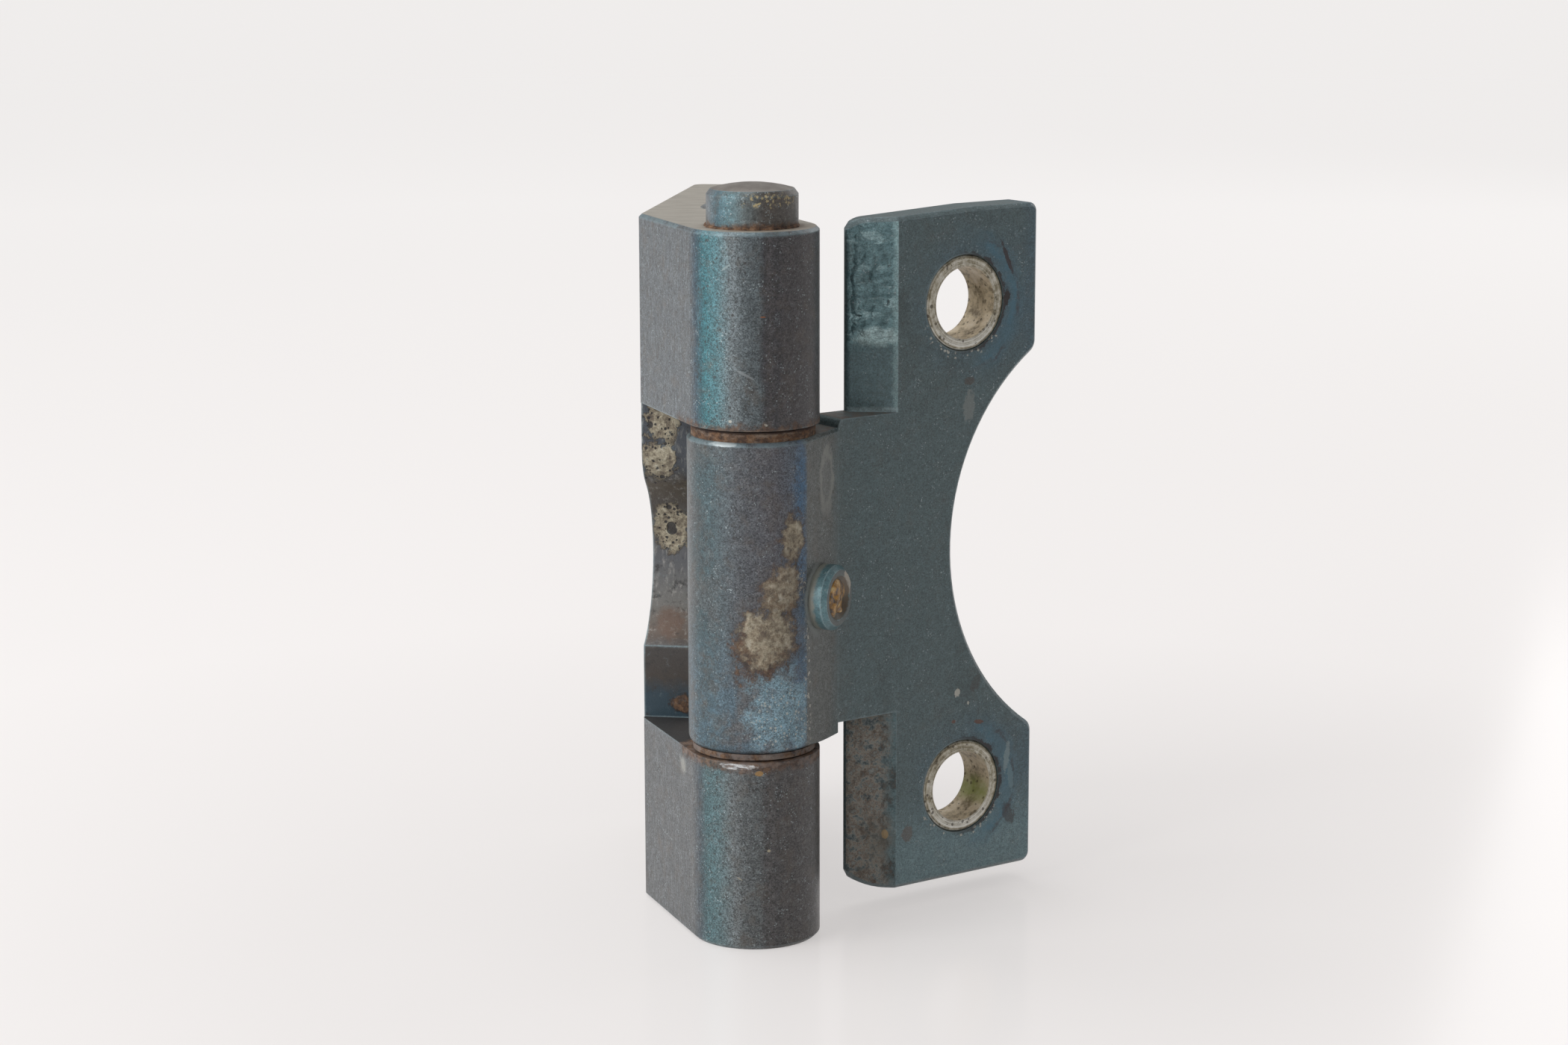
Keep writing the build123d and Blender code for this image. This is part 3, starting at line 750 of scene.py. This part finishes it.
def knuckle_wear_coats(coat, turn, height, on_barrel):
    """Wear on the knuckle: bare patches with rusty rims, specks on the crease, a rubbed facet, and a
    painted glint and highlight on its top edge.
    """
    tree = coat.tree
    bare_places = (
        ((5.7, -5.6, 50.6), (1.9, 3, 3.4), -45, 0, 0.85),
        ((4.5, -6.6, 44.4), (2.6, 3, 4.0), -56, 25, 0.65),
        ((2.8, -7.5, 38.8), (4.0, 3, 4.6), -70, 20, 0.75),
    )
    rusty_side = coat.spot((1.9, -7.8, 37.2), (3.9, 3, 4.4), 14, 20, ragged=2.4, grain=0.7, soft=0.4)
    coat.crust((rusty_side, on_barrel, 0.8), rust, 0.15)
    for centre, size, azimuth, lean, share in bare_places:
        wider = [part * 1.12 for part in size]
        halo = coat.spot(centre, wider, azimuth + 90, lean, ragged=2.2, grain=0.6, soft=0.35)
        coat.crust((halo, on_barrel, 0.75), rust, 0.15)
        bare = coat.spot(centre, size, azimuth + 90, lean, ragged=1.8, grain=0.6, soft=0.4)
        coat.crust((bare, on_barrel, share), oxide, 0.15, Pits=0.3)
    crease = band(tree, turn, turn_share(-31), turn_share(-21), 0.008)
    dots = specks(tree, 2.2, 0.75)
    coat.lay((crease, band(tree, height, 25, 40, 3), dots, 0.8), white_fleck, *matt)
    chips = coat.spot((6.5, -4.7, 44.8), (0.8, 3, 2.2), 53, ragged=2.4, grain=1.3)
    flakes = patches(tree, 0.5, 0.58, 1.8, 7.0, rough=0.8)
    coat.lay((chips, flakes, 0.85), (196, 192, 178), *matt)
    ashes = coat.spot((4.6, -6.6, 28.5), (6, 6, 6.5), ragged=0.8, grain=0.4, soft=0.6)
    coat.lay((ashes, specks(tree, 3.2, 0.4), 0.8), (204, 208, 202), 0.6, 0.0)
    # Painted glint: a short bright highlight on the middle knuckle's top edge
    bright = coat.spot((-2.6, -7.6, 62.2), (2.2, 3, 0.35), -19, 0, ragged=1.2, grain=1.0, soft=0.4)
    coat.lay((bright, on_barrel, 0.85), (206, 216, 218), 0.3)
    beside, _, away = round_hole(tree, nipple_middle, facet_angle + pi / 2)
    inner = nipple_radius / mm
    dust = band(tree, wobbled(tree, away, 1.2, 0.8), inner, inner + 0.8, 0.3)
    outside = stepped(tree, reach(tree, facet_front), 4, 5)
    coat.lay((dust, stepped(tree, beside, 0.0, -2.5), outside, 0.7), (166, 172, 170), *matt)
    turn = degrees(facet_angle) + 90
    rub = coat.spot_parts((8.75, 1.3, 56.4), (2.1, 2, 5.0), turn, ragged=1.3, grain=0.7, soft=0.3)
    coat.lay((rub["Rim"], stepped(tree, height, 51, 55), 0.75), (158, 160, 154), 0.5)
    coat.lay((rub["Mask"], 0.2), (150, 150, 146))
    # Painted highlight along the middle knuckle's top edge
    top_edge_highlight_coat(coat, on_barrel, height, upper_gap - 1.2)
    ledge = band(tree, height, 61, 65, 0.5)
    dusty = patches(tree, 0.3, 0.6, 0.8, 7.0)
    coat.lay((facing(tree, upward), ledge, dusty, 0.8), (118, 104, 94), 0.8, 0.0)


def hole_coats(coat):
    """Bolt marks round the fixing holes, and single chips, scratches and stains on the plate."""
    tree = coat.tree
    for sleeve in ("door_sleeve_upper", "door_sleeve_lower"):
        bolt_marks(coat, sleeve, door_angle, facing(tree, door_front))
    chips = (
        ((28.55, 21.85, 76.5), (0.55, 1.15), 0, chip_dark, 0.95),
        ((28.6, 21.9, 81.2), (0.34, 2.8), -24, (66, 54, 54), 0.85),
        ((24.33, 17.91, 63.15), (1.0, 2.3), 6, (158, 164, 162), 0.6),
        ((24.31, 17.88, 66.4), (0.9, 0.6), 0, (96, 78, 68), 0.5),
        ((23.24, 16.89, 26.78), (0.5, 0.65), 20, white_fleck, 0.95),
        ((24.5, 18.1, 25.2), (0.2, 0.25), 0, white_fleck, 0.8),
        ((29.1, 22.4, 17.2), (0.5, 2.2), 8, (160, 180, 184), 0.75),
        ((29.6, 22.8, 14.4), (0.5, 2.0), -8, (136, 162, 170), 0.7),
        ((29.4, 22.6, 9.6), (0.9, 1.8), -25, (74, 62, 62), 0.55),
        ((25.8, 19.3, 22.5), (0.9, 0.35), 10, (120, 80, 62), 0.75),
        ((22.85, 16.5, 23.1), (0.35, 0.25), 0, (124, 84, 66), 0.7),
        ((25.4, 18.9, 27.6), (0.8, 1.3), 30, (78, 66, 60), 0.4),
        ((17.6, 11.6, 9.6), (1.0, 1.2), 0, (126, 106, 96), 0.5),
    )
    turn = degrees(door_angle)
    for centre, (wide, high), lean, colour, share in chips:
        chip = coat.spot(centre, (wide, mark_depth, high), turn, lean, ragged=1.8, grain=1.6, soft=0.3)
        coat.lay((chip, share), colour, *matt)


def bolt_marks(coat, sleeve, turn, front):
    """What a bolt left round a hole: a shiny ring, a scuffed rim, chips and crumbs of paint."""
    tree = coat.tree
    across, up, away = round_hole(tree, middle(sleeve), turn)
    past_rim = sums(tree, "SUBTRACT", wobbled(tree, away, 2.0, 0.8), sleeve_radius)
    outer_side = stepped(tree, across, 0.0, 4.5)
    patchy = patches(tree, 0.44, 0.62, 0.5, 6.0, rough=0.7)
    shine = band(tree, past_rim, 0.8, 2.8, 1.0)
    coat.lay((front, shine, outer_side, stepped(tree, patchy, 0.0, 1.0, 0.4, 0.75)), (76, 120, 139), 0.35)
    scuff = band(tree, past_rim, 2.3, 2.7, 0.3)
    coat.lay((front, scuff, outer_side, patchy, 0.7), (84, 66, 60), *matt)
    chipped = stepped(tree, past_rim, 0.45, 0.25)
    coat.lay((front, chipped, stepped(tree, across, -3.0, 4.0), 0.85), chip_dark, *matt)
    crumbs = band(tree, past_rim, 0.2, 0.8, 0.2)
    below = stepped(tree, up, -1.0, -4.5)
    coat.lay((front, crumbs, below, specks(tree, 2.6, 0.6), 0.85), white_fleck, *matt)


def round_hole(tree, centre, turn):
    """How the surface lies round a hole, in millimetres: across, above and away from its middle."""
    given = {"Vector": millimetres(tree), "Location": centre / mm, "Rotation": (0, 0, turn)}
    local = shader_node(tree, "Mapping", given, vector_type="TEXTURE").outputs["Vector"]
    parts = shader_node(tree, "SeparateXYZ", {"Vector": local}).outputs
    flat = shader_node(tree, "CombineXYZ", {"X": parts["X"], "Z": parts["Z"]}).outputs["Vector"]
    away = vector_sums(tree, "LENGTH", {0: flat}, "Value")
    return parts["X"], parts["Z"], away


def pin_finish():
    """Paint of the pin's head: teal to the left with a painted highlight, darker brown-grey to the right
    as painted shade, chipped, rusty at its foot.
    """
    coat = Finish("pin_paint_worn", 0.25, 0.4, 0.2)
    tree = coat.tree
    # Tones round the head: the teal run is a painted highlight, the dark brown-grey at -66 degrees is
    # painted shade
    tone_and_light_stops = [
        (-180, (96, 104, 110)), (-150, (108, 118, 124)), (-132, (72, 104, 116)), (-112, (88, 122, 130)),
        (-92, (104, 116, 118)), (-66, (84, 80, 76)), (0, (96, 92, 88)), (180, (96, 98, 98)),
    ]
    turn, height = tone_and_light_round_pin(coat, 0.05, tone_and_light_stops)
    aged(coat, 0.3, 0.1, 0.6, 0.5)
    top = facing(tree, upward, 0.75, 0.92)
    tones = [(0.35, (112, 106, 100)), (0.65, (142, 136, 130))]
    coat.lay(top, colour_ramp(tree, cloudy(tree, 0.5, 6.0), tones), 0.45, 0.2)
    wear_and_highlight_edges(coat, 0.6, 0.5, 0.25, (136, 166, 176))
    side = sums(tree, "SUBTRACT", 1.0, top)
    right = band(tree, turn, turn_share(-92), turn_share(-20), 0.02)
    flaking = band(tree, wobbled(tree, height, 2.4), 90.0, 91.4, 0.3)
    flakes = patches(tree, 0.53, 0.58, 1.9, 7.0, rough=0.7)
    coat.lay((side, right, flaking, flakes), (196, 180, 138), *matt)
    pale = patches(tree, 0.6, 0.68, 1.2, 7.0, rough=0.75)
    coat.lay((side, pale, 0.6), (160, 166, 166), 0.6)
    foot = stepped(tree, wobbled(tree, height, 2.2), fork_top + 0.9, fork_top + 0.2)
    coat.crust((foot, 0.9), rust, 0.2)
    return coat.finish(0.5)


def nipple_finish():
    """Paint of the grease nipple: teal with a rim laid light as rubbed paint and a painted highlight,
    darker on its end face, dusty at its foot.
    """
    coat = Finish("nipple_paint_worn", 0.25, 0.36, 0.3)
    tree = coat.tree
    tones = [(0.3, (88, 124, 132)), (0.7, (114, 149, 156))]
    coat.colour = colour_ramp(tree, cloudy(tree, 0.6), tones)
    aged(coat, 0.24, 0.05, 0.3, 0.4)
    wear_and_highlight_edges(coat, 0.8, 0.35, 0.3, (186, 208, 212))
    out = reach(tree, facet_front)
    foot = stepped(tree, wobbled(tree, out, 1.2, 0.9), 8.8, 8.3)
    coat.lay((foot, 0.7), (178, 172, 158), *matt)
    end = facing(tree, facet_front, 0.86, 0.97)
    coat.lay((end, 0.85), (72, 74, 70), 0.4, 0.1)
    chip_place = nipple_middle / mm + Vector((0.7, 2.0, 1.5))
    chip = coat.spot(chip_place, (1.3, 1.1, 1.9), ragged=1.2, grain=0.9)
    coat.lay((chip, 0.9), (204, 196, 182), 0.6, 0.0)
    within = [funnel_radius / mm + 0.1] * 3
    funnel = coat.spot(nipple_middle / mm, within, ragged=0.25, grain=1.2, soft=0.1)
    coat.lay((funnel, 0.85), (92, 70, 40), 0.4, 0.0)
    return coat.finish(0.5)


def sleeve_finish(name, centre, turn, moss):
    """Dull steel of a sleeve: turned rings on its face, lighter below as a painted highlight on the lower
    rim, a stained bore with a share of moss.
    """
    coat = Finish(name, 0.6, 0.42)
    tree = coat.tree
    _, up, away = round_hole(tree, centre, turn)
    waves = {"W": away, "Scale": 4.0, "Detail": 5.0}
    rings = shader_node(tree, "TexNoise", waves, noise_dimensions="1D").outputs["Fac"]
    mottle = cloudy(tree, 0.9, 7.0, rough=0.72)
    worn = sums(tree, "ADD", product(tree, rings, 0.45), product(tree, mottle, 0.55))
    tones = [(0.36, (84, 78, 64)), (0.45, (140, 132, 110)), (0.53, steel_beige), (0.62, (218, 216, 208))]
    coat.colour = colour_ramp(tree, worn, tones)
    # Painted highlight: the face's rings laid light below the hole
    below = stepped(tree, wobbled(tree, up, 3.0), -1.5, -5.0)
    coat.lay((below, stepped(tree, rings, 0.4, 0.6), 0.8), (226, 226, 220), 0.3)
    coat.lift(rings, 0.06)
    coat.lift(cloudy(tree, 1.6, 5.0), 0.08)
    bore = stepped(tree, away, bore_radius + 0.06, bore_radius)
    tones = [(0.36, (140, 126, 104)), (0.5, (214, 198, 168)), (0.66, (236, 224, 204))]
    coat.lay(bore, colour_ramp(tree, cloudy(tree, 0.6, 7.0, rough=0.72), tones), 0.45, 0.1)
    outward = Vector((cos(turn), sin(turn), 0))
    moss_place = centre / mm + outward * 4 - upward * 1.6
    mossy = coat.spot(moss_place, (3, 6, 2.4), degrees(turn), ragged=1.0, grain=0.5, soft=0.9)
    coat.lay((bore, mossy, moss), (150, 166, 84), 0.6, 0.0)
    coat.lay((specks(tree, 2.2, 0.3), 0.6), (70, 58, 46), 0.8, 0.0)
    return coat.finish(0.25)


def rust_finish(name):
    """A piece that is rust all over."""
    coat = Finish(name, 0.0, 0.85)
    grown = placed(coat.tree, rust)
    coat.colour = grown["Color"]
    coat.lift(grown["Height"], 0.3)
    return coat


def bush_finish():
    """Rusty steel of the bushes, whose flanges fill the gaps between the knuckles, dark along the top of
    the upper flange as painted shade in the gap.
    """
    coat = rust_finish("bush_rusty")
    tree = coat.tree
    pale = patches(tree, 0.46, 0.66, 0.45, 6.0, (1, 1, 2.5), 0.7)
    coat.lay((pale, 0.8), (160, 142, 126))
    height = reach(tree, upward)
    # Painted shade: a dark line along the top of the upper flange, in the gap under the knuckle
    shade = stepped(tree, wobbled(tree, height, 0.5), upper_gap - 0.3, upper_gap - 0.1)
    coat.lay((shade, 0.85), (50, 36, 32))
    ashes = patches(tree, 0.4, 0.56, 0.5, 6.0, rough=0.7)
    coat.lay((stepped(tree, height, 30, 28), ashes, 0.6), (152, 144, 140))
    return coat.finish()


def ball_finish():
    """Bright steel of the check ball."""
    coat = Finish("ball_steel_bright", 1.0, 0.2)
    tones = [(0.3, (150, 148, 144)), (0.7, bare_silver)]
    coat.colour = colour_ramp(coat.tree, cloudy(coat.tree, 1.5), tones)
    return coat.finish()


def grease_finish():
    """Old amber grease."""
    coat = Finish("grease_old", 0.0, 0.22, 0.4)
    lumps = cloudy(coat.tree, 0.8, 6.0)
    tones = [
        (0.36, (54, 40, 24)), (0.45, (142, 102, 42)), (0.53, (204, 150, 62)), (0.64, (240, 212, 150)),
    ]
    coat.colour = colour_ramp(coat.tree, lumps, tones)
    coat.lift(cloudy(coat.tree, 1.3, 5.0), 0.25)
    return coat.finish()


# Pieces that the frame doesn't have


def mesh_object(name, shape, material):
    """An object made of a bmesh."""
    mesh = bpy.data.meshes.new(name)
    shape.to_mesh(mesh)
    shape.free()
    mesh.materials.append(material)
    made = bpy.data.objects.new(name, mesh)
    bpy.context.collection.objects.link(made)
    return made


def new_piece(name, shape, material, body):
    """Makes a smooth object of a bmesh and lets it ride on a body."""
    bmesh.ops.recalc_face_normals(shape, faces=shape.faces)
    for face in shape.faces:
        face.smooth = True
    piece = mesh_object(name, shape, material)
    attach(piece, body)


def roughened(shape, scale, amount):
    """Pushes each vertex in and out by noise."""
    shape.normal_update()
    for vertex in shape.verts:
        vertex.co += vertex.normal * noise.noise(vertex.co / mm * scale) * amount


def grease_plug():
    """A lumpy plug of old grease in the nipple's funnel."""
    shape = bmesh.new()
    bmesh.ops.create_icosphere(shape, subdivisions=5, radius=funnel_radius)
    flattened = (0.92, 0.92, 0.4)
    depth = 1.0 * mm
    bmesh.ops.scale(shape, vec=flattened, verts=shape.verts)
    roughened(shape, 0.8, 0.45 * mm)
    tilt = facet_front.to_track_quat("Z", "Y").to_matrix()
    bmesh.ops.rotate(shape, cent=(0, 0, 0), matrix=tilt, verts=shape.verts)
    bmesh.ops.translate(shape, vec=nipple_middle - facet_front * depth, verts=shape.verts)
    new_piece("grease_plug", shape, grease_finish(), "door")


def paint_run():
    """Thick paint run down the upper bevel and dried in wrinkles: a sheet with closed sides."""
    width = 5.9 * mm
    height = 16.0 * mm
    wrinkle = 0.26
    mean_rise = 0.3
    sunk = 0.14
    middle_place = Vector((13.1, 10.23, 79.0)) * mm
    outward = bevel_front.normalized()
    sideways = upward.cross(outward)
    shape = bmesh.new()
    bmesh.ops.create_grid(shape, x_segments=60, y_segments=160, size=0.5)
    beyond = []
    for vertex in shape.verts:
        across, up = vertex.co.x, vertex.co.y
        place = Vector((across * width, up * height, 3.0 * mm)) / mm
        rim = ((across * 2) ** 4 + (up * 2) ** 4) ** 0.25 + 0.1 * noise.noise(place * 0.5)
        if rim > 1:
            beyond.append(vertex)
        inside = min(1.0, max(0.0, (1 - rim) * 3))
        ripple = noise.fractal(Vector((place.x * 0.55, place.y * 0.85, 3)), 1.0, 2.0, 2)
        rise = (wrinkle * ripple + mean_rise) * inside - sunk
        vertex.co = middle_place + sideways * across * width + upward * up * height + outward * rise * mm
    bmesh.ops.delete(shape, geom=beyond, context="VERTS")
    bmesh.ops.recalc_face_normals(shape, faces=shape.faces)
    bmesh.ops.solidify(shape, geom=shape.faces[:], thickness=0.3 * mm)
    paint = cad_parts["door_half"].material_slots[0].material
    new_piece("paint_run", shape, paint, "door")


def rust_bead():
    """A thin bead of rust round the foot of the pin's head."""
    shape = bmesh.new()
    bmesh.ops.create_circle(shape, cap_ends=False, segments=10, radius=0.24 * mm)
    bmesh.ops.rotate(shape, cent=(0, 0, 0), matrix=Matrix.Rotation(pi / 2, 3, "X"), verts=shape.verts)
    bmesh.ops.translate(shape, vec=(pin_head_radius + 0.02 * mm, 0, fork_top * mm), verts=shape.verts)
    bmesh.ops.spin(
        shape,
        geom=shape.verts[:] + shape.edges[:],
        cent=(0, 0, 0),
        axis=(0, 0, 1),
        angle=tau,
        steps=160,
        use_merge=True,
    )
    bmesh.ops.remove_doubles(shape, verts=shape.verts, dist=1e-6)
    bmesh.ops.recalc_face_normals(shape, faces=shape.faces)
    roughened(shape, 0.8, 0.3 * mm)
    new_piece("rust_bead", shape, rust_finish("bead_rust").finish(), "pillar")


def give(node_name, material):
    """Puts a material on a CAD node."""
    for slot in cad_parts[node_name].material_slots:
        slot.material = material


give("pillar_half", pillar_finish())
give("door_half", door_finish())
give("hinge_pin", pin_finish())
give("grease_nipple", nipple_finish())
give("nipple_ball", ball_finish())
rusty_steel = bush_finish()
for place, moss in (("upper", 0.0), ("lower", 0.75)):
    give(f"{place}_bush", rusty_steel)
    door_sleeve = f"door_sleeve_{place}"
    give(door_sleeve, sleeve_finish(f"door_sleeve_steel_{place}", middle(door_sleeve), door_angle, moss))
    pillar_sleeve = f"pillar_sleeve_{place}"
    give(pillar_sleeve, sleeve_finish(f"pillar_sleeve_steel_{place}", middle(pillar_sleeve), pi / 2, 0.0))
grease_plug()
paint_run()
rust_bead()


# Studio: floor, lamps and camera


def studio_floor():
    """A wide pale floor, lit in part by the lamps and in part by its own glow, which is painted light:
    dimmer close round the hinge, as painted shade, and brighter farther off.
    """
    material, tree, shader = new_material("floor_paper")
    shader["Base Color"].default_value = (0.42, 0.41, 0.405, 1)
    shader["Roughness"].default_value = 0.16
    shader["Specular IOR Level"].default_value = 0.3
    place = tree.nodes.new("ShaderNodeTexCoord").outputs["Object"]
    away = vector_sums(tree, "LENGTH", {0: place}, "Value")
    # Painted light: the floor's glow rises with distance from the hinge, leaving painted shade round it
    tones = [(0.06, (184, 181, 180)), (0.17, (197, 194, 193)), (0.9, (213, 211, 210))]
    feed(tree, shader["Emission Color"], colour_ramp(tree, away, tones))
    rays = tree.nodes.new("ShaderNodeLightPath").outputs
    seen = sums(tree, "MAXIMUM", rays["Is Camera Ray"], rays["Is Glossy Ray"])
    feed(tree, shader["Emission Strength"], seen)
    sheet = bmesh.new()
    bmesh.ops.create_grid(sheet, x_segments=4, y_segments=4, size=6.0)
    floor = mesh_object("floor", sheet, material)


def turned(angle, axis):
    """A turn about an axis, in degrees."""
    return Matrix.Rotation(radians(angle), 4, axis)


def soft_box(name, azimuth, elevation, distance, size, power):
    """A square soft lamp that faces the hinge from a direction given in degrees."""
    lamp = bpy.data.lights.new(name, "AREA")
    lamp.size = size
    lamp.energy = power
    box = bpy.data.objects.new(name, lamp)
    aim = Matrix.Translation((0.005, 0.01, 0.045))
    back = Matrix.Translation((0, 0, distance))
    box.matrix_world = aim @ turned(azimuth + 90, "Z") @ turned(90 - elevation, "X") @ back
    bpy.context.collection.objects.link(box)


def studio_world():
    """White for the eye, dim for lighting and for gloss."""
    world = bpy.data.worlds.new("studio")
    bpy.context.scene.world = world
    world.use_nodes = True
    tree = world.node_tree
    background = tree.nodes["Background"].inputs
    background["Color"].default_value = linear((239, 236, 235))
    seen = tree.nodes.new("ShaderNodeLightPath").outputs["Is Camera Ray"]
    dim = 0.3
    feed(tree, background["Strength"], stepped(tree, seen, 0.0, 1.0, dim, 1.0))


def photo_camera():
    """The camera, where the photograph was taken from."""
    lens = bpy.data.cameras.new("camera")
    lens.sensor_width = 36
    lens.lens = 75.7
    lens.clip_start = 0.01
    camera = bpy.data.objects.new("camera", lens)
    stand = Matrix.Translation((0.06104, -0.38537, 0.12931))
    yaw = turned(8.46, "Z")
    tilt = turned(90 - 11.297, "X")
    roll = turned(-0.12, "Z")
    camera.matrix_world = stand @ yaw @ tilt @ roll
    bpy.context.collection.objects.link(camera)
    bpy.context.scene.camera = camera


studio_floor()
soft_box("key_lamp", -141, 22, 0.6, 0.42, 2.35)
soft_box("rim_lamp", 165, 25, 0.9, 0.7, 1.0)
soft_box("top_lamp", 150, 72, 0.7, 0.5, 1.8)
soft_box("front_lamp", -75, 40, 0.9, 0.4, 0.45)
soft_box("back_lamp", 60, 30, 0.9, 0.7, 1.4)
studio_world()
photo_camera()
bpy.context.scene.view_settings.view_transform = "Standard"
